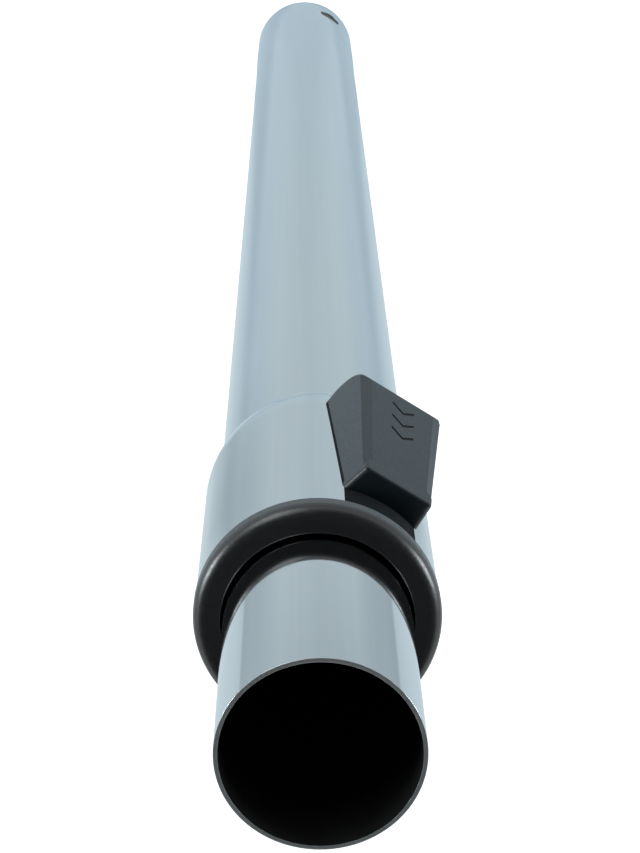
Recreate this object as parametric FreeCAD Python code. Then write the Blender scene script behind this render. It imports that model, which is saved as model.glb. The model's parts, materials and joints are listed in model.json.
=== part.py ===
import FreeCAD, Part
import math
import os

Vec = FreeCAD.Vector

# A telescopic suction wand, pushed together and standing on its handle end (z = 0).
# The tool end points up (+Z) and the release button faces +X. Millimetres throughout.
wand_length = 585.0
travel_length = 360.0

# outer tube: thin chromed steel, its tool end widened to a bell that houses the lock
tube_outer_r = 18.25
tube_wall = 0.75
socket_bore_r = 17.7
socket_depth = 45.0
socket_taper = 2.0
bell_outer_r = 20.8
bell_length = 47.5
shoulder_convex_r = 36.0
shoulder_concave_r = 8.5
latch_hole_width = 8.0
latch_hole_length = 11.0
latch_hole_corner = 3.2
latch_hole_height = 18.5
slot_half_width = 7.1
slot_corner = 2.0

# inner tube: chromed steel, sized at its tool end, flattened along the lock track
tool_end_r = 16.0
tool_end_length = 42.0
tool_neck = 1.5
slide_r = 15.8
inner_wall = 0.7
track_depth = 1.0
track_runout = 4.0

# lock: a steel roller that a wedge-shaped carriage presses into a row of notches
notch_pitch = 20.0
notch_depth = 1.0
roller_r = 2.0
roller_length = 7.0
button_travel = 5.0
wedge_slope = 0.25
lock_below_bell_edge = 27.0

# end collar and guide sleeve: black plastic, plugged into the bell
collar_free_length = 45.5
collar_length = 4.5
collar_outer_r = 21.05
collar_round = 2.6
collar_hole_gap = 0.5
spigot_depth = 3.0
spigot_r = 18.9
spigot_wall = 0.8
sleeve_length = 46.0
tongue_inset = 0.1
wiper_height = 2.4
wiper_outer_r = 17.9
pip_r = 2.4
pip_below_edge = 30.0

# carriage that rides in the sleeve, and its spring
carriage_length = 18.0
carriage_ahead = 9.0
rail_half_width = 6.0
rail_height = 1.6
rail_floor_r = 17.2
stem_half_width = 4.6
stem_top = 24.0
spring_x = 19.3
spring_r = 1.3
spring_wire_r = 0.22
spring_turns = 5.0
spring_wire_sides = 6
spring_hole_depth = 5.5
spring_room = 4.3

# button: a wedge-shaped cap, higher and wider towards the handle, with bevelled shoulders
button_near_ahead = 21.7
button_length = 42.7
button_undercut = 1.7
button_back_run = 9.0
button_heel_r = 11.5
button_near_height = 25.6
button_far_height = 29.55
button_near_half = 6.6
button_far_half = 8.65
button_near_base = 7.8
button_far_base = 9.35
button_round = 0.6
button_wall = 2.2
bevel_near_width = 1.3
bevel_far_width = 1.9
bevel_drop = 0.85
bevel_stop = 3.8

# stop bush on the hidden end of the inner tube, with its seal
bush_length = 24.0
bush_lip = 1.5
seal_height = 4.0
seal_depth = 1.2

# clearances, each named for the pieces that it keeps apart
press_gap = 0.05
slide_gap = 0.1
notch_gap = 0.15
window_gap = 0.15
stop_gap = 0.4
button_gap = 0.25

# heights and radii that follow from the sizes above
collar_top = wand_length - collar_free_length
bell_edge = collar_top - collar_length
shoulder_top = bell_edge - bell_length
bell_inner_r = bell_outer_r - tube_wall
tube_inner_r = tube_outer_r - tube_wall
sleeve_bottom = bell_edge - sleeve_length
sleeve_outer_r = bell_inner_r - press_gap
sleeve_bore_r = slide_r + slide_gap
lock_z = bell_edge - lock_below_bell_edge
notch_r = roller_r + notch_gap
notch_half = roller_length / 2 + window_gap
notch_count = int(travel_length / notch_pitch + 0.5) + 1
track_x = slide_r - track_depth
track_end = lock_z + 2 * notch_r + track_runout
roller_x = track_x - notch_depth + notch_r
carriage_top = lock_z + carriage_ahead
carriage_bottom = carriage_top - carriage_length
rail_top_r = rail_floor_r + rail_height
pocket_top = carriage_top + button_travel + spring_room
slot_bottom = carriage_bottom - press_gap
bush_top = sleeve_bottom - travel_length - stop_gap
inner_bottom = bush_top - bush_length + bush_lip
button_near_z = lock_z + button_near_ahead
button_far_z = button_near_z - button_length
button_front_z = button_near_z + button_undercut
button_crest_z = button_far_z + button_back_run


def cylinder(radius, z_low, z_high):
    return Part.makeCylinder(radius, z_high - z_low, Vec(0, 0, z_low))


def ring(outer_r, inner_r, z_low, z_high):
    return cylinder(outer_r, z_low, z_high).cut(cylinder(inner_r, z_low, z_high))


def block(x_low, x_high, half_width, z_low, z_high):
    """A box centred on the wand's middle plane."""
    return Part.makeBox(x_high - x_low, 2 * half_width, z_high - z_low,
                        Vec(x_low, -half_width, z_low))


def prism(points_xz, half_width):
    """A side outline in the middle plane, drawn out to both sides of it."""
    corners = [Vec(x, -half_width, z) for x, z in points_xz]
    face = Part.Face(Part.makePolygon(corners + corners[:1]))
    return face.extrude(Vec(0, 2 * half_width, 0))


def cross_pin(radius, half_length, x, z):
    return Part.makeCylinder(radius, 2 * half_length, Vec(x, -half_length, z), Vec(0, 1, 0))


def slot_cutter(half_width, z_low, z_high, corner, reach):
    """A bar along +X with rounded corners, from the axis out to the given reach."""
    bar = block(0, reach, half_width, z_low, z_high)
    along_x = [e for e in bar.Edges if abs(e.tangentAt(e.FirstParameter).x) > 0.99]
    return bar.makeFillet(corner, along_x)


def turned(edges):
    """A solid of revolution about the wand's axis from its half outline."""
    return Part.Face(Part.Wire(edges)).revolve(Vec(0, 0, 0), Vec(0, 0, 1), 360)


def line(start, end):
    return Part.makeLine(Vec(start[0], 0, start[1]), Vec(end[0], 0, end[1]))


def arc(centre, radius, angle_from, angle_to):
    """An arc in the half outline. Angles are in radians from the radial direction."""
    def at(angle):
        return Vec(centre[0] + radius * math.cos(angle), 0, centre[1] + radius * math.sin(angle))
    middle = (angle_from + angle_to) / 2
    return Part.Arc(at(angle_from), at(middle), at(angle_to)).toShape()


def tube_solid(inset):
    """The outer tube's outside, shrunk by the wall thickness when the inside is wanted."""
    swell = bell_outer_r - tube_outer_r
    bend = math.acos(1 - swell / (shoulder_convex_r + shoulder_concave_r))
    convex_r = shoulder_convex_r - inset
    concave_r = shoulder_concave_r + inset
    convex_centre = (bell_outer_r - shoulder_convex_r, shoulder_top)
    shoulder_foot = shoulder_top - (shoulder_convex_r + shoulder_concave_r) * math.sin(bend)
    concave_centre = (tube_outer_r + shoulder_concave_r, shoulder_foot)
    bell_r = bell_outer_r - inset
    tube_r = tube_outer_r - inset
    socket_r = socket_bore_r + tube_wall - inset
    return turned([
        line((0, 0), (socket_r, 0)),
        line((socket_r, 0), (socket_r, socket_depth)),
        line((socket_r, socket_depth), (tube_r, socket_depth + socket_taper)),
        line((tube_r, socket_depth + socket_taper), (tube_r, shoulder_foot)),
        arc(concave_centre, concave_r, math.pi, math.pi - bend),
        arc(convex_centre, convex_r, -bend, 0),
        line((bell_r, shoulder_top), (bell_r, bell_edge)),
        line((bell_r, bell_edge), (0, bell_edge)),
        line((0, bell_edge), (0, 0)),
    ])


def outer_tube():
    tube = tube_solid(0).cut(tube_solid(tube_wall))
    half_hole = latch_hole_length / 2
    latch_hole = slot_cutter(latch_hole_width / 2, latch_hole_height - half_hole,
                             latch_hole_height + half_hole, latch_hole_corner,
                             socket_bore_r + 2 * tube_wall)
    button_slot = slot_cutter(slot_half_width, slot_bottom, bell_edge + 2 * slot_corner,
                              slot_corner, bell_outer_r + tube_wall)
    pip_hole = Part.makeCylinder(pip_r + press_gap, bell_outer_r,
                                 Vec(0, 0, bell_edge - pip_below_edge), Vec(-1, 0, 0))
    return tube.cut(latch_hole).cut(button_slot).cut(pip_hole.common(
        block(-bell_outer_r, -slide_r, bell_outer_r, sleeve_bottom, bell_edge)))


def inner_solid(inset):
    """The inner tube's outside with its flat track, or its inside when inset by the wall."""
    body_r = slide_r - inset
    tool_r = tool_end_r - inset
    neck_top = wand_length - tool_end_length
    round_bar = turned([
        line((0, inner_bottom), (body_r, inner_bottom)),
        line((body_r, inner_bottom), (body_r, neck_top - tool_neck)),
        line((body_r, neck_top - tool_neck), (tool_r, neck_top)),
        line((tool_r, neck_top), (tool_r, wand_length)),
        line((tool_r, wand_length), (0, wand_length)),
        line((0, wand_length), (0, inner_bottom)),
    ])
    slope = math.atan2(track_depth, track_runout)
    flat_x = track_x - inset
    flat_end = track_end - inset * math.tan(slope / 2)
    rise = 2 * track_depth
    pressed = prism([
        (flat_x, inner_bottom),
        (flat_x, flat_end),
        (flat_x + rise, flat_end + rise * track_runout / track_depth),
        (2 * slide_r, flat_end + rise * track_runout / track_depth),
        (2 * slide_r, inner_bottom),
    ], slide_r)
    return round_bar.cut(pressed)


def inner_tube():
    tube = inner_solid(0).cut(inner_solid(inner_wall))
    dent = cross_pin(notch_r + inner_wall, notch_half + inner_wall, roller_x, lock_z)
    dent = dent.common(block(0, track_x, slide_r, lock_z - notch_pitch, lock_z + notch_pitch))
    groove = cross_pin(notch_r, notch_half, roller_x, lock_z)
    steps = [Vec(0, 0, -notch_pitch * i) for i in range(notch_count)]
    tube = tube.fuse([dent.translated(step) for step in steps])
    return tube.cut([groove.translated(step) for step in steps])


def guide_sleeve():
    sleeve = ring(sleeve_outer_r, sleeve_bore_r, sleeve_bottom, bell_edge)
    tongue = slot_cutter(slot_half_width - press_gap, slot_bottom + press_gap,
                         bell_edge + 2 * slot_corner, slot_corner, bell_outer_r)
    tongue = tongue.common(ring(bell_outer_r - tongue_inset, sleeve_bore_r + slide_gap,
                                slot_bottom, bell_edge))
    key = block(track_x + window_gap, rail_floor_r, stem_half_width, sleeve_bottom,
                lock_z + notch_r + track_runout)
    pip = Part.makeCylinder(pip_r, bell_outer_r - tongue_inset,
                            Vec(0, 0, bell_edge - pip_below_edge), Vec(-1, 0, 0))
    pip = pip.cut(cylinder(sleeve_bore_r + slide_gap, sleeve_bottom, bell_edge))
    sleeve = sleeve.fuse([tongue, key, pip])

    rail_way = block(rail_floor_r - press_gap, rail_top_r + slide_gap,
                     rail_half_width + window_gap, sleeve_bottom, pocket_top)
    stem_way = block(rail_floor_r, bell_outer_r, stem_half_width + window_gap,
                     sleeve_bottom, pocket_top)
    roller_window = block(0, rail_top_r, roller_length / 2 + window_gap,
                          lock_z - notch_r, lock_z + notch_r)
    wiper_seat = cylinder(wiper_outer_r + press_gap, bell_edge - wiper_height, bell_edge)
    spigot_groove = ring(spigot_r + press_gap, spigot_r - spigot_wall - press_gap,
                         bell_edge - spigot_depth - press_gap, bell_edge)
    return sleeve.cut([rail_way, stem_way, roller_window, wiper_seat, spigot_groove])


def end_collar():
    hole_r = slide_r + collar_hole_gap
    round_centre = (collar_outer_r - collar_round, collar_top - collar_round)
    lip = collar_hole_gap
    spigot_inner_r = spigot_r - spigot_wall
    spigot_end = bell_edge - spigot_depth
    return turned([
        line((hole_r, bell_edge), (spigot_inner_r, bell_edge)),
        line((spigot_inner_r, bell_edge), (spigot_inner_r, spigot_end)),
        line((spigot_inner_r, spigot_end), (spigot_r, spigot_end)),
        line((spigot_r, spigot_end), (spigot_r, bell_edge)),
        line((spigot_r, bell_edge), (collar_outer_r, bell_edge)),
        line((collar_outer_r, bell_edge), (collar_outer_r, collar_top - collar_round)),
        arc(round_centre, collar_round, 0, math.pi / 2),
        line((collar_outer_r - collar_round, collar_top), (hole_r + lip, collar_top)),
        line((hole_r + lip, collar_top), (hole_r, collar_top - lip)),
        line((hole_r, collar_top - lip), (hole_r, bell_edge)),
    ])


def wiper_ring():
    return ring(wiper_outer_r, slide_r + press_gap, bell_edge - wiper_height, bell_edge)


def lock_roller():
    return cross_pin(roller_r, roller_length / 2, roller_x, lock_z)


def slide_carriage():
    rails = block(rail_floor_r, rail_top_r, rail_half_width, carriage_bottom, carriage_top)
    stem = block(rail_top_r, stem_top, stem_half_width, carriage_bottom, carriage_top)
    wedge_x = roller_x + (roller_r + press_gap) * math.hypot(1, wedge_slope)
    wedge_low_z = lock_z + (wedge_x - rail_floor_r) / wedge_slope
    wedge_high_x = wedge_x + wedge_slope * (lock_z - carriage_bottom)
    wedge = prism([
        (rail_floor_r, carriage_bottom),
        (wedge_high_x, carriage_bottom),
        (rail_floor_r, wedge_low_z),
    ], roller_length / 2 + window_gap)
    spring_hole = Part.makeCylinder(spring_r + 2 * spring_wire_r, spring_hole_depth,
                                    Vec(spring_x, 0, carriage_top - spring_hole_depth))
    return rails.fuse(stem).cut(wedge).cut(spring_hole)


def return_spring():
    low = carriage_top - spring_hole_depth + spring_wire_r
    high = pocket_top - spring_wire_r
    coil = Part.makeHelix((high - low) / spring_turns, high - low, spring_r)
    turns = [2 * math.pi * i / spring_wire_sides for i in range(spring_wire_sides + 1)]
    wire = Part.makePolygon([Vec(spring_r + spring_wire_r * math.cos(a), 0,
                                 spring_wire_r * math.sin(a)) for a in turns])
    spring = Part.Wire(coil.Edges).makePipeShell([wire], True, True)
    return spring.translated(Vec(spring_x, 0, low))


def button_taper(z, near_value, far_value):
    """A size of the button at height z, between its value at the front edge and at the crest."""
    share = (button_front_z - z) / (button_front_z - button_crest_z)
    return near_value + share * (far_value - near_value)


def button_top(z):
    return button_taper(z, button_near_height, button_far_height)


def button_half(z):
    return button_taper(z, button_near_half, button_far_half)


def button_section(z):
    """The button's cross-section at height z, down to the inner tube's surface."""
    base = button_taper(z, button_near_base, button_far_base)
    side = [(slide_r, base), (button_top(z), button_half(z))]
    outline = side + [(x, -y) for x, y in reversed(side)]
    corners = [Vec(x, y, z) for x, y in outline]
    return Part.makePolygon(corners + corners[:1])


def bevel_section(z_inner, z_outer):
    """What a bevel takes off one shoulder. Its inner and outer lines may end at two heights."""
    width = button_taper(z_inner, bevel_near_width, bevel_far_width)
    inner = Vec(button_top(z_inner), button_half(z_inner) - width, z_inner)
    outer = Vec(button_top(z_outer) - bevel_drop, button_half(z_outer), z_outer)
    beyond = (outer - inner) * 0.5
    corner = Vec(inner.x - beyond.x, outer.y + beyond.y, z_outer)
    corners = [inner - beyond, outer + beyond, corner]
    return Part.makePolygon(corners + corners[:1])


def bevels():
    """The two shoulder cuts. They run off the heel and stop short of the front corners."""
    far_end = button_far_z - button_undercut
    near_end = button_front_z - bevel_stop
    left = Part.makeLoft([bevel_section(far_end, far_end),
                          bevel_section(near_end, (near_end + button_front_z) / 2)], True, True)
    return [left, left.mirror(Vec(0, 0, 0), Vec(0, 1, 0))]


def button_side_view():
    """The button from the side: leaning front, and a heel rounded from the base to the crest."""
    heel_rise = math.sqrt(2 * button_back_run * button_heel_r - button_back_run ** 2)
    heel_x = button_far_height - heel_rise
    ceiling = heel_x + button_heel_r
    heel_z = button_far_z + button_heel_r
    lean = button_undercut / (button_near_height - bell_outer_r)
    front_foot = button_near_z - lean * (bell_outer_r - slide_r)
    front_head = button_near_z + lean * (ceiling - bell_outer_r)
    outline = Part.Wire([
        line((slide_r, front_foot), (ceiling, front_head)),
        line((ceiling, front_head), (ceiling, heel_z)),
        arc((heel_x, heel_z), button_heel_r, 0, -math.pi / 2),
        line((heel_x, button_far_z), (slide_r, button_far_z)),
        line((slide_r, button_far_z), (slide_r, front_foot)),
    ])
    half = 2 * button_far_base
    return Part.Face(outline).extrude(Vec(0, 2 * half, 0)).translated(Vec(0, -half, 0))


def slide_button():
    tapered = Part.makeLoft([button_section(button_near_z + 2 * button_undercut),
                             button_section(button_far_z - button_undercut)], True, True)
    cap = tapered.common(button_side_view())
    round_edges = [e for e in cap.Edges if e.BoundBox.XMax > bell_outer_r
                   and e.BoundBox.ZLength < button_length / 2]
    cap = cap.makeFillet(button_round, round_edges)
    saddle = cylinder(bell_outer_r + button_gap, button_far_z - bell_outer_r,
                      button_near_z + bell_outer_r)
    stem_socket = block(slide_r, stem_top + press_gap, stem_half_width + press_gap,
                        carriage_bottom - press_gap, carriage_top + press_gap)
    heel_pocket = block(slide_r, stem_top, stem_half_width, button_far_z + button_wall,
                        carriage_bottom - button_wall)
    return cap.cut(bevels() + [saddle, stem_socket, heel_pocket])


def seal_groove_z():
    low = bush_top - bush_length / 2 - seal_height / 2
    return low, low + seal_height


def stop_bush():
    bush_r = tube_inner_r - slide_gap
    body = ring(bush_r, slide_r - inner_wall, bush_top - bush_length, bush_top)
    low, high = seal_groove_z()
    groove = ring(tube_outer_r, bush_r - seal_depth, low, high)
    return body.cut(inner_solid(0)).cut(groove)


def seal_ring():
    low, high = seal_groove_z()
    return ring(tube_inner_r - press_gap, tube_inner_r - slide_gap - seal_depth, low, high)


pieces = {
    "outer_tube": outer_tube,
    "inner_tube": inner_tube,
    "guide_sleeve": guide_sleeve,
    "end_collar": end_collar,
    "wiper_ring": wiper_ring,
    "slide_button": slide_button,
    "slide_carriage": slide_carriage,
    "return_spring": return_spring,
    "lock_roller": lock_roller,
    "stop_bush": stop_bush,
    "seal_ring": seal_ring,
}

os.makedirs("parts", exist_ok=True)
for name, make in pieces.items():
    make().exportStep("parts/" + name + ".step")
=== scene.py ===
import json
import math

import bmesh
import bpy
from mathutils import Matrix, Vector


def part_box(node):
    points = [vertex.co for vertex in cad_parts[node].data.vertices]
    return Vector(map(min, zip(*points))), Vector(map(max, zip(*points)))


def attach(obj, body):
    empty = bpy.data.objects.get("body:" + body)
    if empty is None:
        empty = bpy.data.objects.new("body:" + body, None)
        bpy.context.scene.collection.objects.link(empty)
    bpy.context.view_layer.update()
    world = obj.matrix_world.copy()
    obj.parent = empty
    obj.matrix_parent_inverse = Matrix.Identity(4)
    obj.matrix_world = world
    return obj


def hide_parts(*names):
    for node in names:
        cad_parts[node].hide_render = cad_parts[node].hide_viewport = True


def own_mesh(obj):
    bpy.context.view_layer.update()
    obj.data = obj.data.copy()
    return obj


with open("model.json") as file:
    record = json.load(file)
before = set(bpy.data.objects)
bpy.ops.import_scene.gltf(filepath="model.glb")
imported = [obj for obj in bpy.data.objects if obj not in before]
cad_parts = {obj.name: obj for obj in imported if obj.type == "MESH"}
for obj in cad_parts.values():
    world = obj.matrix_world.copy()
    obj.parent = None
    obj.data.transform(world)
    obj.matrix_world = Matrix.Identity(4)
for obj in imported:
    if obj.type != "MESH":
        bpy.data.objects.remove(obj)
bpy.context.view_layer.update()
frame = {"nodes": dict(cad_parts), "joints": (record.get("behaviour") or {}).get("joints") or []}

# Outer tube: a thin drawn steel tube, bright chromed outside and left bare inside, where its
# near-black colour is painted shade.
# Its tool end is rolled out to a bell, and the latch hole, the button's slot and the sleeve's
# snap hole are punched through the wall.
mm = 0.001
round_steps = 192
outer_tube_r = 18.25 * mm
outer_wall = 0.75 * mm
socket_r = 17.7 * mm
socket_depth = 45 * mm
socket_taper = 2 * mm
bell_r = 20.8 * mm
bell_length = 47.5 * mm
shoulder_convex_r = 36 * mm
shoulder_concave_r = 8.5 * mm
latch_hole_half = (4 * mm, 5.5 * mm)
latch_hole_corner = 3.2 * mm
latch_hole_height = 18.5 * mm
slot_half_width = 7.1 * mm
slot_corner = 2 * mm
slot_length = 36.05 * mm
snap_hole_r = 2.45 * mm
snap_hole_below_edge = 30 * mm
burr_round = 0.12 * mm
burr_turn = 50
burr_segments = 2
shoulder_steps = (8, 16)
hole_corner_steps = 8
snap_hole_steps = 32
chrome_color = (0.575, 0.595, 0.61)
chrome_rough = 0.04
cut_steel_color = (0.60, 0.66, 0.68)
cut_steel_roughs = (0.3, 0.6)
cut_steel_bump = 0.3
cut_steel_tear = 0.1 * mm
# near black: painted shade of the tube's inside
bore_shade_color = (0.012, 0.012, 0.012)
bore_roughs = (0.5, 0.75)
bore_gloss = 0.15
chrome_finish, cut_finish, bore_finish = 0, 1, 2
bell_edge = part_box("outer_tube")[1][2]


def arc_points(centre, radius, start, end, count):
    """Points of an arc in the half outline, with angles from the radial direction."""
    angles = [start + (end - start) * i / count for i in range(count + 1)]
    return [(centre[0] + radius * math.cos(a), centre[1] + radius * math.sin(a)) for a in angles]


def new_object(name, form):
    """A linked object from a bmesh, at the origin."""
    mesh = bpy.data.meshes.new(name)
    form.to_mesh(mesh)
    form.free()
    piece = bpy.data.objects.new(name, mesh)
    bpy.context.scene.collection.objects.link(piece)
    return piece


def spun(name, outline, reach=lambda radius, height, angle: radius):
    """A closed outline of (radius, height, finish) spun about the axis. Each finish is that of
    the stretch up to the next point, and reach may pull a radius in at some angles."""
    form = bmesh.new()
    rings = []
    for radius, height, _ in outline:
        ring = []
        for step in range(round_steps):
            angle = 2 * math.pi * step / round_steps
            r = reach(radius, height, angle)
            ring.append(form.verts.new((r * math.cos(angle), r * math.sin(angle), height)))
        rings.append(ring)
    for row, (_, _, finish) in enumerate(outline):
        here, there = rings[row], rings[(row + 1) % len(rings)]
        for step in range(round_steps):
            beside = (step + 1) % round_steps
            face = form.faces.new((here[step], here[beside], there[beside], there[step]))
            face.material_index = finish
            face.smooth = True
    return new_object(name, form)


def bar_along_x(form, outline_yz, x_low, x_high, finish):
    """A closed bar along X, added to a bmesh, that punches a hole of that outline."""
    ends = [[form.verts.new((x, y, z)) for y, z in outline_yz] for x in (x_low, x_high)]
    count = len(outline_yz)
    faces = [form.faces.new(ends[0][::-1]), form.faces.new(ends[1])]
    for i in range(count):
        j = (i + 1) % count
        faces.append(form.faces.new((ends[0][i], ends[0][j], ends[1][j], ends[1][i])))
    for face in faces:
        face.material_index = finish


def rounded_outline(half_width, z_low, z_high, corner):
    """A rectangle across Y and along Z with round corners."""
    points = []
    for turn, (y, z) in enumerate(((half_width, z_high), (-half_width, z_high),
                                   (-half_width, z_low), (half_width, z_low))):
        centre = (y - math.copysign(corner, y), z - corner if z == z_high else z + corner)
        points += arc_points(centre, corner, turn * math.pi / 2, (turn + 1) * math.pi / 2,
                             hole_corner_steps)
    return points


def settle(piece):
    """Turns what the piece's modifiers make into its plain mesh."""
    graph = bpy.context.evaluated_depsgraph_get()
    made = bpy.data.meshes.new_from_object(piece.evaluated_get(graph))
    piece.modifiers.clear()
    piece.data = made


def combine(piece, tool, operation):
    """Cuts, joins or trims the piece with a tool object, which is then removed."""
    change = piece.modifiers.new("combine", "BOOLEAN")
    change.object = tool
    change.operation = operation
    change.solver = "EXACT"
    settle(piece)
    bpy.data.objects.remove(tool)


def ease_edges(piece, width, angle):
    """Rounds every edge that turns by more than the angle in degrees and evens its shading."""
    piece.data.shade_smooth()
    ease = piece.modifiers.new("ease", "BEVEL")
    ease.width = width
    ease.segments = burr_segments
    ease.limit_method = "ANGLE"
    ease.angle_limit = math.radians(angle)
    even = piece.modifiers.new("even", "WEIGHTED_NORMAL")
    even.keep_sharp = False
    settle(piece)


def tube_line(inset):
    """The tube's half outline from handle rim to bell edge, inset by a wall for the inside."""
    bend = math.acos(1 - (bell_r - outer_tube_r) / (shoulder_convex_r + shoulder_concave_r))
    shoulder_top = bell_edge - bell_length
    foot = shoulder_top - (shoulder_convex_r + shoulder_concave_r) * math.sin(bend)
    socket = socket_r + outer_wall - inset
    return ([(socket, 0), (socket, socket_depth),
             (outer_tube_r - inset, socket_depth + socket_taper)]
            + arc_points((outer_tube_r + shoulder_concave_r, foot), shoulder_concave_r + inset,
                         math.pi, math.pi - bend, shoulder_steps[0])
            + arc_points((bell_r - shoulder_convex_r, shoulder_top), shoulder_convex_r - inset,
                         -bend, 0, shoulder_steps[1])
            + [(bell_r - inset, bell_edge)])


def walled(line, wall):
    """A tube wall's closed outline: chrome outside, bare inside and cut at both rims."""
    outside = [(r, z, chrome_finish) for r, z in line(0)]
    inside = [(r, z, bore_finish) for r, z in reversed(line(wall))]
    for side in (outside, inside):
        side[-1] = (*side[-1][:2], cut_finish)
    return outside + inside


outer_tube = spun("chromed_outer_tube", walled(tube_line, outer_wall))
punches = bmesh.new()
bar_along_x(punches, rounded_outline(latch_hole_half[0], latch_hole_height - latch_hole_half[1],
                                     latch_hole_height + latch_hole_half[1], latch_hole_corner),
            socket_r / 2, bell_r, cut_finish)
bar_along_x(punches, rounded_outline(slot_half_width, bell_edge - slot_length,
                                     bell_edge + 2 * slot_corner, slot_corner),
            socket_r / 2, 2 * bell_r, cut_finish)
bar_along_x(punches, arc_points((0, bell_edge - snap_hole_below_edge), snap_hole_r,
                                0, 2 * math.pi, snap_hole_steps)[:-1],
            -2 * bell_r, -socket_r, cut_finish)
combine(outer_tube, new_object("punches", punches), "DIFFERENCE")
ease_edges(outer_tube, burr_round, burr_turn)


def new_material(name, color, rough=0.5, metallic=0.0):
    """A material's nodes, its links and its Principled shader with the plain values set."""
    material = bpy.data.materials.new(name)
    material.use_nodes = True
    nodes, links = material.node_tree.nodes, material.node_tree.links
    shader = nodes["Principled BSDF"]
    shader.inputs["Base Color"].default_value = (*color, 1)
    shader.inputs["Roughness"].default_value = rough
    shader.inputs["Metallic"].default_value = metallic
    return material, nodes, links, shader


def new_group(name, inputs, outputs):
    """An empty shader group with float inputs and outputs, and the sockets of its two ends."""
    group = bpy.data.node_groups.new(name, "ShaderNodeTree")
    for in_out, names in (("INPUT", inputs), ("OUTPUT", outputs)):
        for socket_name in names:
            group.interface.new_socket(socket_name, in_out=in_out, socket_type="NodeSocketFloat")
    given = group.nodes.new("NodeGroupInput").outputs
    result = group.nodes.new("NodeGroupOutput").inputs
    return group, given, result


def placed_group(nodes, group, **values):
    """A shader group placed in a material with its own values. Returns its outputs."""
    node = nodes.new("ShaderNodeGroup")
    node.node_tree = group
    for socket_name, value in values.items():
        node.inputs[socket_name].default_value = value
    return node.outputs


def feed(links, socket, value):
    """Sets a socket to a number or a colour, or links another node's output to it."""
    if isinstance(value, bpy.types.NodeSocket):
        links.new(value, socket)
    else:
        socket.default_value = value


def math_node(nodes, links, operation, *values):
    """A math node fed by numbers or by other nodes' sockets. Returns its output."""
    node = nodes.new("ShaderNodeMath")
    node.operation = operation
    for socket, value in zip(node.inputs, values):
        feed(links, socket, value)
    return node.outputs[0]


def mix_node(nodes, links, share, a, b, kind="RGBA", blend="MIX"):
    """Mixes two colours or numbers, plain or from other nodes' sockets. Returns its output."""
    node = nodes.new("ShaderNodeMix")
    node.data_type = kind
    node.blend_type = blend
    for socket_name, value in (("Factor", share), ("A", a), ("B", b)):
        feed(links, node.inputs[socket_name], value)
    return node.outputs["Result"]


def noise_node(nodes, links, stretch, scale, detail):
    """Noise on Object coordinates in metres, drawn out along axes whose stretch is small."""
    place = nodes.new("ShaderNodeTexCoord")
    mapping = nodes.new("ShaderNodeMapping")
    mapping.inputs["Scale"].default_value = stretch
    links.new(place.outputs["Object"], mapping.inputs["Vector"])
    noise = nodes.new("ShaderNodeTexNoise")
    noise.inputs["Detail"].default_value = detail
    links.new(mapping.outputs["Vector"], noise.inputs["Vector"])
    feed(links, noise.inputs["Scale"], scale)
    return noise.outputs["Fac"]


def range_node(nodes, links, value, low, high, to_low, to_high):
    """Maps a value from one range to another and holds it at the ends."""
    node = nodes.new("ShaderNodeMapRange")
    links.new(value, node.inputs["Value"])
    for socket_name, number in zip(("From Min", "From Max", "To Min", "To Max"),
                                   (low, high, to_low, to_high)):
        node.inputs[socket_name].default_value = number
    return node.outputs["Result"]


def toned(nodes, links, shader, tone):
    """Multiplies the shader's own colour by a tone that changes over the surface."""
    color = tuple(shader.inputs["Base Color"].default_value)
    links.new(mix_node(nodes, links, 1, color, tone, blend="MULTIPLY"),
              shader.inputs["Base Color"])


def bumped(nodes, links, shader, height, strength, depth):
    """Bumps the shader's normal by a height that changes over the surface."""
    bump = nodes.new("ShaderNodeBump")
    bump.inputs["Strength"].default_value = strength
    bump.inputs["Distance"].default_value = depth
    links.new(height, bump.inputs["Height"])
    links.new(bump.outputs["Normal"], shader.inputs["Normal"])


def rough_by_noise(nodes, links, shader, noise, roughs):
    """Lets a noise carry the shader's roughness from one value to another."""
    links.new(range_node(nodes, links, noise, *noise_spread, *roughs),
              shader.inputs["Roughness"])


# drawn tube: faint lines along the tube from its drawing, and soft bands in its tone that are
# painted reflection bands, with a few hazy smudges of handling. Each noise is given by its
# stretch, scale and detail
reflection_band_noise = ((1, 1, 0.02), 110, 2)
line_noise = ((1, 1, 0.01), 900, 3)
smudge_noise = ((1, 1, 0.6), 130, 5)
torn_noise = ((1, 1, 1), 2200, 3)
film_noise = ((1, 1, 0.1), 160, 3)
noise_spread = (0.3, 0.7)
line_share = 0.35
tone_gain = 4
smudge_spread = (0.5, 0.75)
drawn_lines_and_reflection_bands, given, result = new_group("drawn_lines_and_reflection_bands", ["Bands", "Haze"], ["Tone", "Haze"])
nodes, links = drawn_lines_and_reflection_bands.nodes, drawn_lines_and_reflection_bands.links
# the band noise paints reflection bands into the chrome's tone
bands = noise_node(nodes, links, *reflection_band_noise)
lines = noise_node(nodes, links, *line_noise)
smudges = noise_node(nodes, links, *smudge_noise)
mixed = math_node(nodes, links, "MULTIPLY_ADD", lines, line_share,
                  math_node(nodes, links, "SUBTRACT", bands, 0.5 + line_share / 2))
swing = math_node(nodes, links, "MULTIPLY", mixed, given["Bands"])
links.new(math_node(nodes, links, "MULTIPLY_ADD", swing, tone_gain, 1), result["Tone"])
smudge = range_node(nodes, links, smudges, *smudge_spread, 0, 1)
links.new(math_node(nodes, links, "MULTIPLY", smudge, given["Haze"]), result["Haze"])


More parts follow.
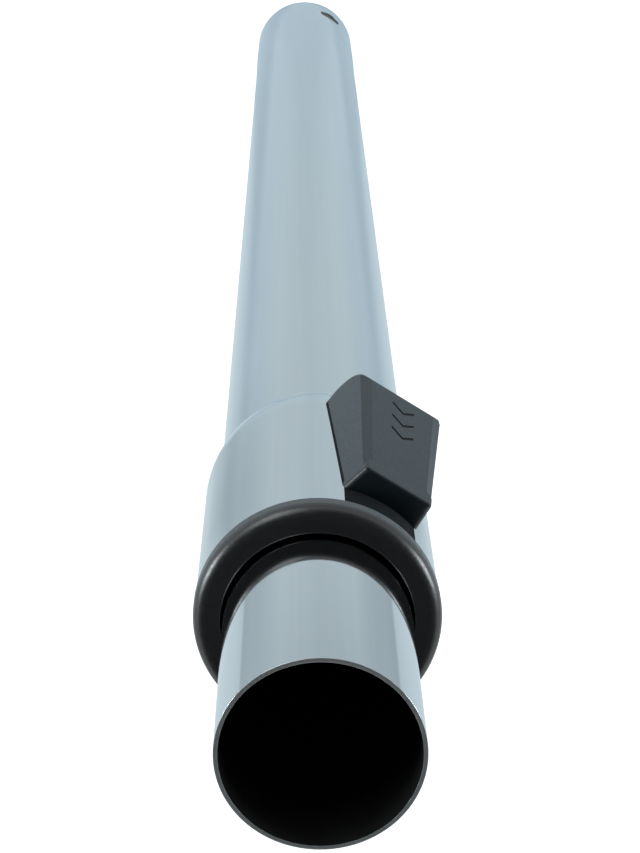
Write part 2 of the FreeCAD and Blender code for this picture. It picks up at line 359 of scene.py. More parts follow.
def chrome_material(name, bands, haze):
    """Bright chrome plate, slightly blue, with the drawn tube's streaks and painted reflection
    bands in its tone.
    """
    material, nodes, links, shader = new_material(name, chrome_color, metallic=1.0)
    drawn = placed_group(nodes, drawn_lines_and_reflection_bands, Bands=bands, Haze=haze)
    toned(nodes, links, shader, drawn["Tone"])
    links.new(math_node(nodes, links, "ADD", drawn["Haze"], chrome_rough),
              shader.inputs["Roughness"])
    return material


def cut_steel_material():
    """Bare saw-cut steel at the rims: grey, matt and a little torn."""
    material, nodes, links, shader = new_material("cut_steel", cut_steel_color, metallic=1.0)
    torn = noise_node(nodes, links, *torn_noise)
    rough_by_noise(nodes, links, shader, torn, cut_steel_roughs)
    bumped(nodes, links, shader, torn, cut_steel_bump, cut_steel_tear)
    return material


def bore_material():
    """Bare inside of the tube, near black as painted shade, with a film of drawing soap and oil in
    its roughness.
    """
    material, nodes, links, shader = new_material("bare_bore", bore_shade_color)
    film = noise_node(nodes, links, *film_noise)
    rough_by_noise(nodes, links, shader, film, bore_roughs)
    shader.inputs["Specular IOR Level"].default_value = bore_gloss
    return material


def dress(piece, *finishes):
    """Gives a new piece its materials in the order of its faces' finishes."""
    for finish in finishes:
        piece.data.materials.append(finish)


cut_steel = cut_steel_material()
bare_bore = bore_material()
dress(outer_tube, chrome_material("outer_chrome", bands=0.05, haze=0.04), cut_steel, bare_bore)
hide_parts("outer_tube")
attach(outer_tube, "outer_section")

# Inner tube: the same chromed steel, drawn thinner, that slides inside the outer one. Its tool
# end is sized to take the floor head. A flat is rolled along one side of it, with a row of
# notches pressed in for the lock.
tool_end_r = 16 * mm
tool_end_length = 42 * mm
tool_neck = 1.5 * mm
slide_r = 15.8 * mm
inner_wall = 0.7 * mm
track_x = 14.8 * mm
track_runout = 4 * mm
notch_pitch = 20 * mm
notch_r = 2.15 * mm
notch_length = 7.3 * mm
notch_sides = 40
notch_ease = 0.18 * mm
notch_turn = 40
runout_steps = 8
only_finish = 0
inner_bottom, rim_height = (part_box("inner_tube")[end][2] for end in (0, 1))
roller_low, roller_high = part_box("lock_roller")
roller_x = (roller_low[0] + roller_high[0]) / 2
lock_height = (roller_low[2] + roller_high[2]) / 2
track_end = lock_height + 2 * notch_r
track_slope = (slide_r - track_x) / track_runout


def joint_reach(name):
    """How far a joint slides from rest, in metres."""
    return next(joint for joint in frame["joints"] if joint["name"] == name)["range_m"][1]


def inner_line(inset):
    """The inner tube's half outline, with rows where the flat runs out."""
    neck_top = rim_height - tool_end_length
    runout = [(slide_r - inset, track_end + track_runout * i / runout_steps)
              for i in range(runout_steps + 2)]
    return ([(slide_r - inset, inner_bottom)] + runout
            + [(slide_r - inset, neck_top - tool_neck), (tool_end_r - inset, neck_top),
               (tool_end_r - inset, rim_height)])


def flattened(radius, height, angle):
    """Pulls the wall in to the flat on the button's side."""
    flat = track_x + max(0, height - track_end) * track_slope
    if height > rim_height - tool_end_length or math.cos(angle) <= 0:
        return radius
    if radius < slide_r - inner_wall / 2:
        flat -= inner_wall
    return min(radius, flat / math.cos(angle))


def new_tree(name, inputs):
    """An empty Geometry Nodes tree with inputs of (name, kind). Returns its parts."""
    tree = bpy.data.node_groups.new(name, "GeometryNodeTree")
    for socket_name, kind in inputs:
        tree.interface.new_socket(socket_name, in_out="INPUT", socket_type="NodeSocket" + kind)
    tree.interface.new_socket("Geometry", in_out="OUTPUT", socket_type="NodeSocketGeometry")
    return tree, tree.nodes, tree.links, tree.nodes.new("NodeGroupInput").outputs


def end_tree(nodes, links, made, material):
    """Ends a Geometry Nodes tree: what it made becomes plain mesh and gets its material."""
    realize = nodes.new("GeometryNodeRealizeInstances")
    finish = nodes.new("GeometryNodeSetMaterial")
    result = nodes.new("NodeGroupOutput")
    links.new(made, realize.inputs["Geometry"])
    links.new(realize.outputs["Geometry"], finish.inputs["Geometry"])
    links.new(material, finish.inputs["Material"])
    links.new(finish.outputs["Geometry"], result.inputs["Geometry"])


def fed_node(nodes, links, kind, **values):
    """A node whose inputs are set or linked by name, with _ for a space. Returns the node."""
    node = nodes.new(kind)
    for socket_name, value in values.items():
        feed(links, node.inputs[socket_name.replace("_", " ")], value)
    return node


def row_tree(name):
    """A Geometry Nodes tree that repeats a pin across the tube in a row down the flat."""
    tree, nodes, links, given = new_tree(name, (
        ("Count", "Int"), ("Pitch", "Float"), ("Start", "Vector"), ("Radius", "Float"),
        ("Length", "Float"), ("Sides", "Int"), ("Finish", "Material")))
    step = fed_node(nodes, links, "ShaderNodeCombineXYZ",
                    Z=math_node(nodes, links, "MULTIPLY", given["Pitch"], -1))
    row = fed_node(nodes, links, "GeometryNodeMeshLine", Count=given["Count"],
                   Start_Location=given["Start"], Offset=step.outputs[0])
    pin = fed_node(nodes, links, "GeometryNodeMeshCylinder", Vertices=given["Sides"],
                   Radius=given["Radius"], Depth=given["Length"])
    place = fed_node(nodes, links, "GeometryNodeInstanceOnPoints", Points=row.outputs["Mesh"],
                     Instance=pin.outputs["Mesh"], Rotation=(math.pi / 2, 0, 0))
    end_tree(nodes, links, place.outputs["Instances"], given["Finish"])
    return tree


def grown(name, tree, **values):
    """An object whose mesh a Geometry Nodes tree has made from the named inputs."""
    piece = new_object(name, bmesh.new())
    grow = piece.modifiers.new("grow", "NODES")
    grow.node_group = tree
    for socket in tree.interface.items_tree:
        if socket.in_out == "INPUT" and socket.name in values:
            grow[socket.identifier] = values[socket.name]
    settle(piece)
    return piece


inner_tube = spun("chromed_inner_tube", walled(inner_line, inner_wall), flattened)
inner_chrome = chrome_material("inner_chrome", bands=0.05, haze=0.06)
dress(inner_tube, inner_chrome, cut_steel, bare_bore)
pin_row = row_tree("pin_row")
notch_count = round(joint_reach("telescope") / notch_pitch) + 1
row_values = {"Count": notch_count, "Pitch": notch_pitch, "Start": (roller_x, 0, lock_height),
              "Sides": notch_sides}
dents = grown("notch_backs", pin_row, Radius=notch_r + inner_wall, Finish=bare_bore,
              Length=notch_length + 2 * inner_wall, **row_values)
trim = bmesh.new()
trim_x = track_x - inner_wall / 10  # just inside the wall, so that the backs join it
bar_along_x(trim, [(slide_r, rim_height), (-slide_r, rim_height), (-slide_r, 0), (slide_r, 0)],
            trim_x, 2 * slide_r, only_finish)
combine(dents, new_object("trim", trim), "DIFFERENCE")
combine(inner_tube, dents, "UNION")
grooves = grown("notch_grooves", pin_row, Radius=notch_r, Length=notch_length,
                Finish=inner_chrome, **row_values)
combine(inner_tube, grooves, "DIFFERENCE")
ease_edges(inner_tube, notch_ease, notch_turn)
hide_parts("inner_tube")
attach(inner_tube, "inner_section")

# Stop bush and seal: a black moulded bush that is snapped on the inner tube's hidden end, and a
# rubber ring in its groove. They guide the tube, stop it at full reach and keep the air in.
black_color = (0.010, 0.011, 0.012)
rubber_color = (0.010, 0.010, 0.010)
grain_bump = 0.5
grain_rough = 0.05
grain_detail = 2
blotch_noise = ((1, 1, 1), 60, 3)
blotch = 0.08


def grain_group():
    """Moulded surfaces: a fine spark-eroded grain and slow changes of tone."""
    group, given, result = new_group("moulded_grain", ["Size", "Blotch"],
                                     ["Height", "Tone", "Rough"])
    nodes, links = group.nodes, group.links
    fine = noise_node(nodes, links, (1, 1, 1), given["Size"], grain_detail)
    slow = noise_node(nodes, links, *blotch_noise)
    swing = math_node(nodes, links, "MULTIPLY", math_node(nodes, links, "SUBTRACT", slow, 0.5),
                      given["Blotch"])
    links.new(fine, result["Height"])
    links.new(math_node(nodes, links, "MULTIPLY_ADD", swing, 2, 1), result["Tone"])
    links.new(range_node(nodes, links, fine, *noise_spread, -grain_rough, grain_rough),
              result["Rough"])
    return group


moulded_grain = grain_group()


def plastic_material(name, color, rough, gloss, size, depth):
    """A moulded plastic or rubber with its grain as bump, roughness and slow tone."""
    material, nodes, links, shader = new_material(name, color, rough)
    shader.inputs["Specular IOR Level"].default_value = gloss
    grain = placed_group(nodes, moulded_grain, Size=size, Blotch=blotch)
    toned(nodes, links, shader, grain["Tone"])
    links.new(math_node(nodes, links, "ADD", grain["Rough"], rough), shader.inputs["Roughness"])
    bumped(nodes, links, shader, grain["Height"], grain_bump, depth)
    return material


def dress_node(name, finish):
    """Gives a solid that shows as it is its finished material."""
    materials = frame["nodes"][name].data.materials
    materials.clear()
    materials.append(finish)


black_plastic = plastic_material("black_plastic", black_color, rough=0.6, gloss=0.03, size=1800,
                                 depth=0.02 * mm)
seal_rubber = plastic_material("seal_rubber", rubber_color, rough=0.7, gloss=0.3, size=2600,
                               depth=0.02 * mm)
dress_node("stop_bush", black_plastic)
dress_node("seal_ring", seal_rubber)

# Guide sleeve and wiper: the black moulded bush that is pressed into the bell and carries the
# lock, with the tongue that shows in the bell's slot, and the rubber wiper in its end.
dress_node("guide_sleeve", black_plastic)
dress_node("wiper_ring", seal_rubber)

# Lock: the carriage under the button, the steel roller that its wedge frees or presses into a
# notch, and the coil spring that pushes it back. The real spring shortens as the button slides;
# this one is wound at one length and does not. All three are closed in by the sleeve.
spring_r = 1.3 * mm
spring_wire_r = 0.22 * mm
spring_turns = 5.0
spring_turn_steps = 32
spring_wire_sides = 12
spring_edge_turn = 50
spring_color = (0.5, 0.5, 0.5)
spring_roughs = (0.22, 0.4)
ground_noise = ((0.1, 1, 1), 1500, 2)
spring_low, spring_high = (Vector(corner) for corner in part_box("return_spring"))
spring_foot = (spring_low + spring_high) / 2
spring_foot.z = spring_low.z + spring_wire_r
spring_height = spring_high.z - spring_low.z - 2 * spring_wire_r


def spring_steel_material():
    """Ground and oiled steel with fine lines across it."""
    material, nodes, links, shader = new_material("spring_steel", spring_color, metallic=1.0)
    lines = noise_node(nodes, links, *ground_noise)
    rough_by_noise(nodes, links, shader, lines, spring_roughs)
    return material


def coil_tree(name):
    """A Geometry Nodes tree that winds a round wire into a coil."""
    tree, nodes, links, given = new_tree(name, (
        ("Foot", "Vector"), ("Radius", "Float"), ("Height", "Float"), ("Turns", "Float"),
        ("Steps", "Int"), ("Wire", "Float"), ("Sides", "Int"), ("Finish", "Material")))
    path = fed_node(nodes, links, "GeometryNodeCurveSpiral", Resolution=given["Steps"],
                    Rotations=given["Turns"], Start_Radius=given["Radius"],
                    End_Radius=given["Radius"], Height=given["Height"], Reverse=True)
    wire = fed_node(nodes, links, "GeometryNodeCurvePrimitiveCircle",
                    Resolution=given["Sides"], Radius=given["Wire"])
    wound = fed_node(nodes, links, "GeometryNodeCurveToMesh", Curve=path.outputs["Curve"],
                     Profile_Curve=wire.outputs["Curve"], Fill_Caps=True)
    seat = fed_node(nodes, links, "GeometryNodeTransform", Geometry=wound.outputs["Mesh"],
                    Translation=given["Foot"])
    end_tree(nodes, links, seat.outputs["Geometry"], given["Finish"])
    return tree


spring_steel = spring_steel_material()
dress_node("slide_carriage", black_plastic)
dress_node("lock_roller", spring_steel)
spring = grown("coiled_return_spring", coil_tree("wire_coil"), Foot=spring_foot, Radius=spring_r,
               Height=spring_height, Turns=spring_turns, Steps=spring_turn_steps,
               Wire=spring_wire_r, Sides=spring_wire_sides, Finish=spring_steel)
spring.data.shade_smooth()
spring.data.set_sharp_from_angle(angle=math.radians(spring_edge_turn))
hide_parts("return_spring")
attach(spring, "outer_section")
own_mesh(spring)

# End collar: a satin black moulded ring that plugs the bell round the inner tube. Its front
# edge is fully rounded and its spigot snaps into the sleeve.
collar_r = 21.05 * mm
collar_round = 2.6 * mm
collar_hole_r = 16.3 * mm
collar_lip = 0.5 * mm
spigot_outer_r = 18.9 * mm
spigot_inner_r = 18.1 * mm
collar_ease = 0.1 * mm
collar_steps = (6, 20)
collar_color = (0.005, 0.007, 0.0085)
spigot_end, collar_top = (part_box("end_collar")[end][2] for end in (0, 1))
lip_round = arc_points((collar_hole_r + collar_lip, collar_top - collar_lip), collar_lip,
                       math.pi / 2, math.pi, collar_steps[0])
nose = arc_points((collar_r - collar_round, collar_top - collar_round), collar_round,
                  0, math.pi / 2, collar_steps[1])
collar_line = ([(spigot_inner_r, spigot_end), (spigot_outer_r, spigot_end),
                (spigot_outer_r, bell_edge), (collar_r, bell_edge)] + nose + lip_round
               + [(collar_hole_r, bell_edge), (spigot_inner_r, bell_edge)])
end_collar = spun("satin_end_collar", [(r, z, only_finish) for r, z in collar_line])
ease_edges(end_collar, collar_ease, burr_turn)
dress(end_collar, plastic_material("collar_plastic", collar_color, rough=0.33, gloss=0.85,
                                   size=1500, depth=0.03 * mm))
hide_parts("end_collar")
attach(end_collar, "outer_section")

# Release button: a dark moulded cap, snapped on the carriage's stem through the bell's slot. It
# is higher and wider at its heel and leans back over its front face. A bevel cut along each side
# stops short of the front, and three chevrons in its top point the way it is pushed.
button_near_ahead = 21.7 * mm
button_length = 42.7 * mm
button_undercut = 1.7 * mm
button_back_run = 9 * mm
button_heel_r = 11.5 * mm
button_heights = (25.6 * mm, 29.55 * mm)
button_halves = (6.6 * mm, 8.65 * mm)
button_bases = (7.8 * mm, 9.35 * mm)
button_round = 0.6 * mm
button_front_round = 0.95 * mm
bevel_widths = (1.3 * mm, 1.9 * mm)
bevel_drop = 0.85 * mm
bevel_stop = 3.8 * mm
bevel_end_wall = 0.15 * mm
bell_gap = 0.25 * mm
# painted shade: a near-black strip along the foot of each side, where the gap over the bell is
foot_shade_line = 0.65 * mm
foot_shade_most = 0.5
weld = 0.001 * mm
button_edge_turn = 20
button_color = (0.015, 0.025, 0.030)
# painted shade in the chevron grooves
chevron_shade_color = (0.008, 0.010, 0.011)
chevron_shade_finish, foot_shade_finish = 1, 2
heel_steps, crest_steps, top_steps, front_steps, face_steps = 24, 6, 30, 8, 6
corner_steps = 6
band_steps = 14
seat_passes = 3
saddle_r = bell_r + bell_gap
button_near = lock_height + button_near_ahead
button_far = button_near - button_length
button_front = button_near + button_undercut
button_crest = button_far + button_back_run
heel_x = button_heights[1] - math.sqrt(2 * button_back_run * button_heel_r - button_back_run ** 2)
front_lean = button_undercut / (button_heights[0] - bell_r)


def button_taper(height, sizes):
    """A size of the button at a height, between its value at the front edge and the crest."""
    share = (button_front - height) / (button_front - button_crest)
    return sizes[0] + share * (sizes[1] - sizes[0])


def side_half(x, height):
    """Half of the button's width on its leaning sides."""
    top, half, base = (button_taper(height, sizes)
                       for sizes in (button_heights, button_halves, button_bases))
    return half + (base - half) * (top - x) / (top - slide_r)


def curve_through(start, corner, end, count):
    """Points of a soft bend from start to end, towards a corner."""
    return [start.lerp(corner, i / count).lerp(corner.lerp(end, i / count), i / count)
            for i in range(count + 1)]


def button_profile():
    """The button from the side as (x, z), over the heel and the top and down the front face."""
    clear = saddle_r + button_round / 4
    heel_start = -math.acos((clear - heel_x) / button_heel_r)
    heel_end = -math.asin((button_heel_r - button_back_run) / button_heel_r)
    heel = [Vector(point) for point in arc_points((heel_x, button_far + button_heel_r),
                                                  button_heel_r, heel_start, heel_end,
                                                  heel_steps)]
    crest = Vector((button_heights[1], button_crest))
    front = Vector((button_heights[0], button_front))
    foot = Vector((clear, button_near + front_lean * (clear - bell_r)))
    along_top, down_front = (front - crest).normalized(), (foot - front).normalized()
    crest_bend = curve_through(heel[-2], crest, crest + along_top * button_round, crest_steps)
    top_start, top_end = crest_bend[-1], front - along_top * button_round
    top = [top_start.lerp(top_end, i / top_steps) for i in range(1, top_steps)]
    front_bend = curve_through(top_end, front, front + down_front * button_round, front_steps)
    face = [front_bend[-1].lerp(foot, i / face_steps) for i in range(1, face_steps + 1)]
    return heel[:-2] + crest_bend + top + front_bend + face


def shoulder_cut(point):
    """How far the bevel or round reaches in from a side and down, and its roundness."""
    drop = button_taper(point[1], button_heights) - point[0]
    share = min(1, max(0, 1 - drop / bevel_drop))
    if point[1] > button_front - bevel_stop + bevel_end_wall / 2:
        bend = button_front_round - share * (button_front_round - button_round)
        return bend, bend, 1
    width, depth = share * button_taper(point[1], bevel_widths), share * bevel_drop
    return max(button_round, width), max(button_round, depth), 1 - share


def cap_row(inner, outer, slope, width, depth, roundness):
    """Points across the button, from one side's edge over the shoulders to the other's."""
    normal = Vector((slope[1], -slope[0])).normalized()
    low = outer - normal * depth
    flat = side_half(*inner) - width
    reach = side_half(*low) - flat
    corner = []
    for step in range(corner_steps + 1):
        t = step / corner_steps
        turn = t * math.pi / 2
        sink = depth * ((1 - roundness) * t + roundness * (1 - math.cos(turn)))
        place = inner.lerp(outer, t) - normal * sink
        corner.append((place.x, flat + reach * ((1 - roundness) * t + roundness * math.sin(turn)),
                       place.y))
    band = [(inner.x, flat * (1 - 2 * i / band_steps), inner.y) for i in range(1, band_steps)]
    return corner[::-1] + band + [(x, -y, z) for x, y, z in corner]


def seated(row, surface):
    """A row's points moved down the button's outside on the bell."""
    edge = row[0][1]
    points = []
    for x, y, z in row:
        across = y
        for _ in range(seat_passes):
            seat = math.sqrt(saddle_r ** 2 - across ** 2)
            height = surface(seat) + z - surface(x)
            across = y / edge * side_half(seat, height)
        points.append((seat, across, height))
    return points


def heel_surface(x):
    """Height of the heel's back at a distance from the axis."""
    return button_far + button_heel_r - math.sqrt(button_heel_r ** 2 - max(0, x - heel_x) ** 2)


def front_surface(x):
    """Height of the leaning front face at a distance from the axis."""
    return button_near + front_lean * (x - bell_r)


def button_rows():
    """All rows over the button, with two slanting rows where the bevels stop."""
    profile = button_profile()
    stop = Vector((button_taper(button_front - bevel_stop, button_heights),
                   button_front - bevel_stop))
    along_top = Vector((button_heights[0] - button_heights[1],
                        button_front - button_crest)).normalized()
    wall, slant = along_top * bevel_end_wall, along_top * bevel_stop / 2
    ahead = next(i for i, point in enumerate(profile) if point.y >= stop.y)
    rows, front_rows = [], []
    for i, point in enumerate(profile):
        slope = profile[min(i + 1, len(profile) - 1)] - profile[max(i - 1, 0)]
        row = cap_row(point, point, slope, *shoulder_cut(point))
        if i < ahead:
            rows.append(row)
        elif point.y > (stop + slant + wall).y:
            front_rows.append(row)
    rows += [cap_row(stop, stop + slant, along_top, *shoulder_cut(stop)),
             cap_row(stop + wall, stop + slant + wall, along_top, button_round, button_round, 1)]
    rows += front_rows
    return [seated(rows[0], heel_surface)] + rows + [seated(rows[-1], front_surface)]


def under_rows(heel_row, front_row, rows):
    """Rows of the hollow over the bell, one below each row of the outside."""
    low, high = heel_row[0][2], front_row[0][2]
    under, share = [heel_row], 0
    for row in rows[1:-1]:
        share = min(1, max(share, (row[0][2] - low) / (high - low)))
        if share == 1:
            under.append(front_row)
            continue
        points = []
        for a, b in zip(heel_row, front_row):
            middle = Vector(a).lerp(Vector(b), share)
            points.append((math.sqrt(saddle_r ** 2 - middle.y ** 2), middle.y, middle.z))
        under.append(points)
    return under + [front_row]


def button_cap(name):
    """The closed cap: its outside, its two sides and the hollow that sits over the bell."""
    rows = button_rows()
    under = under_rows(rows[0], rows[-1], rows)
    form = bmesh.new()
    top_grid, low_grid = ([[form.verts.new(point) for point in row] for row in side]
                          for side in (rows, under))
    for grid in (top_grid, low_grid):
        for here, there in zip(grid, grid[1:]):
            for i in range(len(here) - 1):
                form.faces.new((here[i], here[i + 1], there[i + 1], there[i]))
    # painted shade: the lowest strip of each side gets the near-black finish
    for end in (0, -1):
        foot = []
        tip = low_grid[-1][end].co
        for top_row, low_row in zip(top_grid, low_grid):
            top, low = top_row[end].co, low_row[end].co
            rise = min(foot_shade_most, foot_shade_line / max(foot_shade_line, (top - low).length))
            if (low - tip).length < foot_shade_line:
                rise = 0
            foot.append(form.verts.new(low.lerp(top, rise)))
        for k in range(len(foot) - 1):
            form.faces.new((top_grid[k][end], top_grid[k + 1][end], foot[k + 1], foot[k]))
            shade_strip = form.faces.new((foot[k], foot[k + 1], low_grid[k + 1][end], low_grid[k][end]))
            shade_strip.material_index = foot_shade_finish
    bmesh.ops.remove_doubles(form, verts=form.verts, dist=weld)
    bmesh.ops.dissolve_degenerate(form, edges=form.edges, dist=weld)
    bmesh.ops.recalc_face_normals(form, faces=form.faces)
    return new_object(name, form)


def loft(name, first, last):
    """A closed solid between two like outlines of points."""
    form = bmesh.new()
    ends = [[form.verts.new(point) for point in outline] for outline in (first, last)]
    form.faces.new(ends[0])
    form.faces.new(ends[1][::-1])
    for i in range(len(first)):
        j = (i + 1) % len(first)
        form.faces.new((ends[0][j], ends[0][i], ends[1][i], ends[1][j]))
    bmesh.ops.recalc_face_normals(form, faces=form.faces)
    return new_object(name, form)


button = button_cap("grey_slide_button")

# chevrons, sunk square to the sloping top, their walls and floor darker and duller as painted
# shade in the grooves
chevron_first = 18.9 * mm
chevron_aside = -0.27 * mm
chevron_pitch = 5.1 * mm
chevron_count = 3
chevron_half = 2.35 * mm
chevron_sweep = 2.35 * mm
chevron_stroke = 0.9 * mm
chevron_depth = 0.5 * mm
top_run = button_front - button_crest
top_rise = button_heights[1] - button_heights[0]
back_along_top = Vector((top_rise, 0, -top_run)).normalized()
out_of_top = Vector((top_run, 0, top_rise)).normalized()
front_of_top = Vector((button_heights[0], 0, button_front))


def chevron_point(back, side, lift):
    """A point on the button's top, back from its front edge, to one side and lifted off it."""
    across = Vector((0, side + chevron_aside, 0))
    return front_of_top + back_along_top * back + across + out_of_top * lift


def chevron_tree(name):
    """A Geometry Nodes tree that repeats one chevron along the top."""
    tree, nodes, links, given = new_tree(name, (
        ("Chevron", "Object"), ("Count", "Int"), ("Step", "Vector"), ("Finish", "Material")))
    row = fed_node(nodes, links, "GeometryNodeMeshLine", Count=given["Count"],
                   Offset=given["Step"])
    one = fed_node(nodes, links, "GeometryNodeObjectInfo", Object=given["Chevron"])
    place = fed_node(nodes, links, "GeometryNodeInstanceOnPoints", Points=row.outputs["Mesh"],
                     Instance=one.outputs["Geometry"])
    end_tree(nodes, links, place.outputs["Instances"], given["Finish"])
    return tree


chevron_outline = [(0, 0), (chevron_sweep, chevron_half),
                   (chevron_sweep + chevron_stroke, chevron_half), (chevron_stroke, 0),
                   (chevron_sweep + chevron_stroke, -chevron_half), (chevron_sweep, -chevron_half)]
chevron = loft("chevron", *([chevron_point(chevron_first - chevron_stroke / 2 + back, side, lift)
                             for back, side in chevron_outline]
                            for lift in (-chevron_depth, chevron_depth)))
button_plastic = plastic_material("button_plastic", button_color, rough=0.42, gloss=0.5,
                                  size=2200, depth=0.03 * mm)
chevron_shade_plastic = plastic_material("chevron_shade_plastic", chevron_shade_color, rough=0.5, gloss=0.15,
                                   size=2200, depth=0.03 * mm)
# the near-black plastic on the foot strips is painted shade
dress(button, button_plastic, chevron_shade_plastic, black_plastic)
chevrons = grown("chevrons", chevron_tree("chevron_row"), Chevron=chevron, Count=chevron_count,
                 Step=back_along_top * chevron_pitch, Finish=chevron_shade_plastic)
for face in chevrons.data.polygons:
    face.material_index = chevron_shade_finish
bpy.data.objects.remove(chevron)
combine(button, chevrons, "DIFFERENCE")
button.data.shade_smooth()
button.data.set_sharp_from_angle(angle=math.radians(button_edge_turn))
even = button.modifiers.new("even", "WEIGHTED_NORMAL")
even.keep_sharp = True
settle(button)
button.visible_glossy = False
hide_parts("slide_button")
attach(button, "release_slide")

# Camera: it looks down past the tool end, a little to the button's side of the axis, so that
# the near rim is large and the wand runs away to its handle end.
image_size = (640, 853)
focal_pixels = 2176.08
film_side = 36
button_turn = math.radians(32.45)
view_tilt = math.radians(20.01)
eye_distance = 0.322116
eye_lift = 0.048718
eye_skew = 0.0116
image_nudge = 0.65
nearest_seen = 0.01
toward_eye = Vector((math.cos(button_turn), math.sin(button_turn), 0))
to_image_right = Vector((math.sin(button_turn), -math.cos(button_turn), 0))
axis = Vector((0, 0, 1))
eye_forward = (-math.cos(view_tilt) * axis - math.sin(view_tilt) * toward_eye
               + eye_skew * to_image_right).normalized()
level_up = math.cos(view_tilt) * toward_eye - math.sin(view_tilt) * axis
eye_right = eye_forward.cross(level_up).normalized()
eye_up = eye_right.cross(eye_forward)
eye = Vector((0, 0, rim_height)) - eye_distance * eye_forward + eye_lift * eye_up
camera = bpy.data.objects.new("camera", bpy.data.cameras.new("camera"))
bpy.context.scene.collection.objects.link(camera)
stand = Matrix((eye_right, eye_up, -eye_forward)).transposed().to_4x4()
stand.translation = eye
camera.matrix_world = stand
camera.data.sensor_width = film_side
camera.data.sensor_fit = "AUTO"
camera.data.lens = focal_pixels / max(image_size) * film_side
camera.data.shift_x = -image_nudge / max(image_size)
camera.data.clip_start = nearest_seen
bpy.context.scene.camera = camera

# Floor: a plain pale sweep that the wand stands on. It keeps the wand's soft shadow and shows
# white to the eye. Its glow in gloss is a painted reflection for the chrome: a cool grey near the
# wand, painted shade to both sides and near the wand's foot, and painted light behind, which puts
# a dark and a light streak along each flank, and a plain grey farther off. Inside the tube's
# circle it glows much less, as painted shade under the bore.
floor_half = 4.0
floor_gap = 0.05 * mm
floor_color = (0.85, 0.85, 0.85)
floor_rough = 0.9
floor_mirrored = (0.17, 0.26, 0.30, 1)
# painted shade on both flanks, darker farther out, and painted light behind, as the chrome mirrors
# them
floor_painted_flank_shade = (0.09, 0.20, 0.27, 1)
floor_painted_far_flank_shade = (0.01, 0.085, 0.125, 1)
floor_painted_light_behind = (0.19, 0.29, 0.34, 1)
floor_mirrored_room = (0.32, 0.34, 0.35, 1)
# painted shade: inside the tube's circle the floor glows this much less
floor_painted_shade_in_tube = 0.16
flank_fade = (0.7, 0.97)
foot_fade = (0.03, 0.14)
far_fade = (0.16, 0.22)
farthest_fade = (0.25, 0.30)
farthest_share = 0.6
behind_fade = (0.23, 0.26)
room_fade = (0.4, 0.8)
behind_edge = (-0.16, -0.10)
floor_form = bmesh.new()
bmesh.ops.create_grid(floor_form, x_segments=8, y_segments=8, size=floor_half)
floor = new_object("floor", floor_form)
floor.location.z = -floor_gap
floor_paint, nodes, links, shader = new_material("floor_paint", floor_color, floor_rough)
shader.inputs["Specular IOR Level"].default_value = 0


def vector_node(nodes, links, operation, *values):
    """A vector math node fed by vectors or by other nodes' sockets. Returns its outputs."""
    node = nodes.new("ShaderNodeVectorMath")
    node.operation = operation
    for socket, value in zip(node.inputs, values):
        feed(links, socket, value)
    return node.outputs


place = nodes.new("ShaderNodeTexCoord").outputs["Object"]
from_axis = vector_node(nodes, links, "LENGTH", place)["Value"]
bearing = vector_node(nodes, links, "NORMALIZE", place)["Vector"]
ahead, sideways = (vector_node(nodes, links, "DOT_PRODUCT", bearing, direction)["Value"]
                   for direction in (toward_eye, to_image_right))


def away(fade, near_value, far_value):
    """A value that changes with the distance from the wand's axis."""
    return range_node(nodes, links, from_axis, *fade, near_value, far_value)


# painted shade on the flanks and near the foot, and painted light behind, in the glow that the
# chrome mirrors
flank = math_node(nodes, links, "ABSOLUTE", sideways)
lit = math_node(nodes, links, "MULTIPLY", away(foot_fade, 0, 1),
                away(farthest_fade, 1, farthest_share))
bright = math_node(nodes, links, "MULTIPLY", range_node(nodes, links, flank, *flank_fade, 1, 0),
                   lit)
dim = mix_node(nodes, links, away(far_fade, 0, 1), floor_painted_flank_shade, floor_painted_far_flank_shade)
behind = math_node(nodes, links, "MULTIPLY", range_node(nodes, links, ahead, *behind_edge, 1, 0),
                   away(behind_fade, 0, 1))
mirrored = mix_node(nodes, links, bright, dim, floor_mirrored)
mirrored = mix_node(nodes, links, behind, mirrored, floor_painted_light_behind)
mirrored = mix_node(nodes, links, away(room_fade, 0, 1), mirrored, floor_mirrored_room)
# painted shade under the tube
outside_tube = away((outer_tube_r - outer_wall, outer_tube_r), floor_painted_shade_in_tube, 1)


def light_paths(nodes, links):
    """Whether a ray comes from the eye, and whether it comes from gloss or glass."""
    seen = nodes.new("ShaderNodeLightPath").outputs
    by_gloss = math_node(nodes, links, "MAXIMUM", seen["Is Glossy Ray"],
                         seen["Is Transmission Ray"])
    return seen["Is Camera Ray"], by_gloss


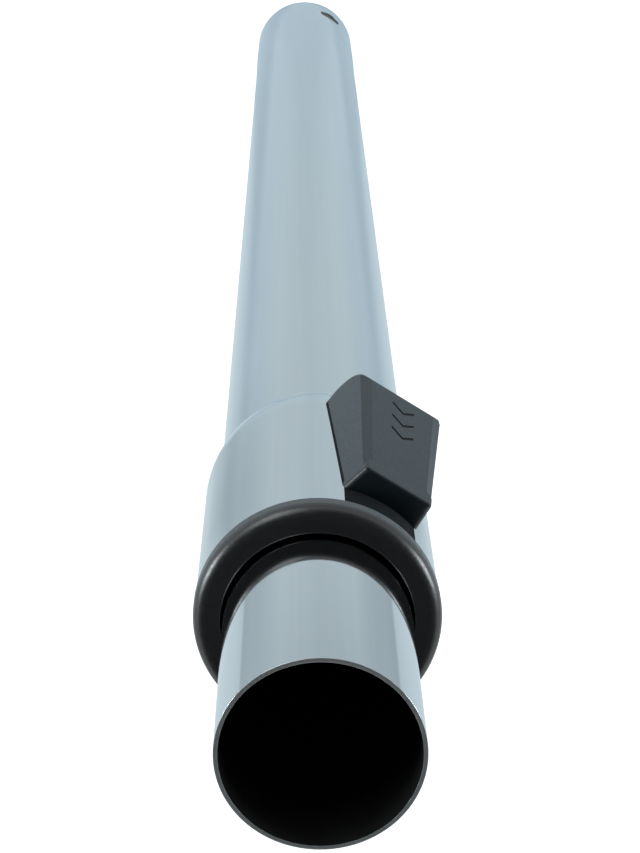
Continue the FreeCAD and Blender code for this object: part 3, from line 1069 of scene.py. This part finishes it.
by_eye, by_gloss = light_paths(nodes, links)
shown = math_node(nodes, links, "MAXIMUM", by_eye, by_gloss)
links.new(mix_node(nodes, links, by_eye, mirrored, (*floor_color, 1)),
          shader.inputs["Emission Color"])
links.new(math_node(nodes, links, "MULTIPLY", shown, outside_tube),
          shader.inputs["Emission Strength"])
dress(floor, floor_paint)

# Light: a broad soft lamp on the button's side, a smaller one on each flank, a weak one behind
# the wand, and a room that is pale at the horizon, white there in gloss, and dim overhead. A
# lamp is given by its turn from the eye's side to image left, its height, size and power.
horizon_light = 0.5
zenith_light = 0.10
horizon_white = 1
room_rise = (0.1, 0.7)
mirrored_rise = (0.0, 0.4)
lamp_reach = 1.2
lamp_target = Vector((0, 0, 0.8 * rim_height))
lamp_color = (0.90, 0.97, 1.0)
lamps = {"key_lamp": (30, 0.72, 0.8, 4.0), "left_lamp": (84, 0.66, 0.45, 6.0),
         "right_lamp": (-84, 0.62, 0.45, 6.0), "back_lamp": (180, 0.5, 0.5, 2.0)}
world = bpy.data.worlds.new("studio")
bpy.context.scene.world = world
world.use_nodes = True
nodes, links = world.node_tree.nodes, world.node_tree.links
background = nodes["Background"]
place = nodes.new("ShaderNodeTexCoord").outputs["Generated"]
rise = fed_node(nodes, links, "ShaderNodeSeparateXYZ", Vector=place).outputs["Z"]
room = range_node(nodes, links, rise, *room_rise, horizon_light, zenith_light)
mirrored_room = range_node(nodes, links, rise, *mirrored_rise, horizon_white, zenith_light)
by_eye, by_gloss = light_paths(nodes, links)
strength = mix_node(nodes, links, by_gloss, room, mirrored_room, kind="FLOAT")
strength = mix_node(nodes, links, by_eye, strength, horizon_white, kind="FLOAT")
links.new(strength, background.inputs["Strength"])
background.inputs["Color"].default_value = (1, 1, 1, 1)
for name, (turn, height, size, power) in lamps.items():
    direction = (math.cos(math.radians(turn)) * toward_eye
                 - math.sin(math.radians(turn)) * to_image_right)
    light = bpy.data.lights.new(name, "AREA")
    light.shape = "DISK"
    light.size = size
    light.energy = power
    light.color = lamp_color
    lamp = bpy.data.objects.new(name, light)
    lamp.location = direction * lamp_reach + Vector((0, 0, height))
    lamp.rotation_euler = (lamp_target - lamp.location).to_track_quat("-Z", "Y").to_euler()
    bpy.context.scene.collection.objects.link(lamp)
bpy.context.scene.view_settings.view_transform = "Standard"
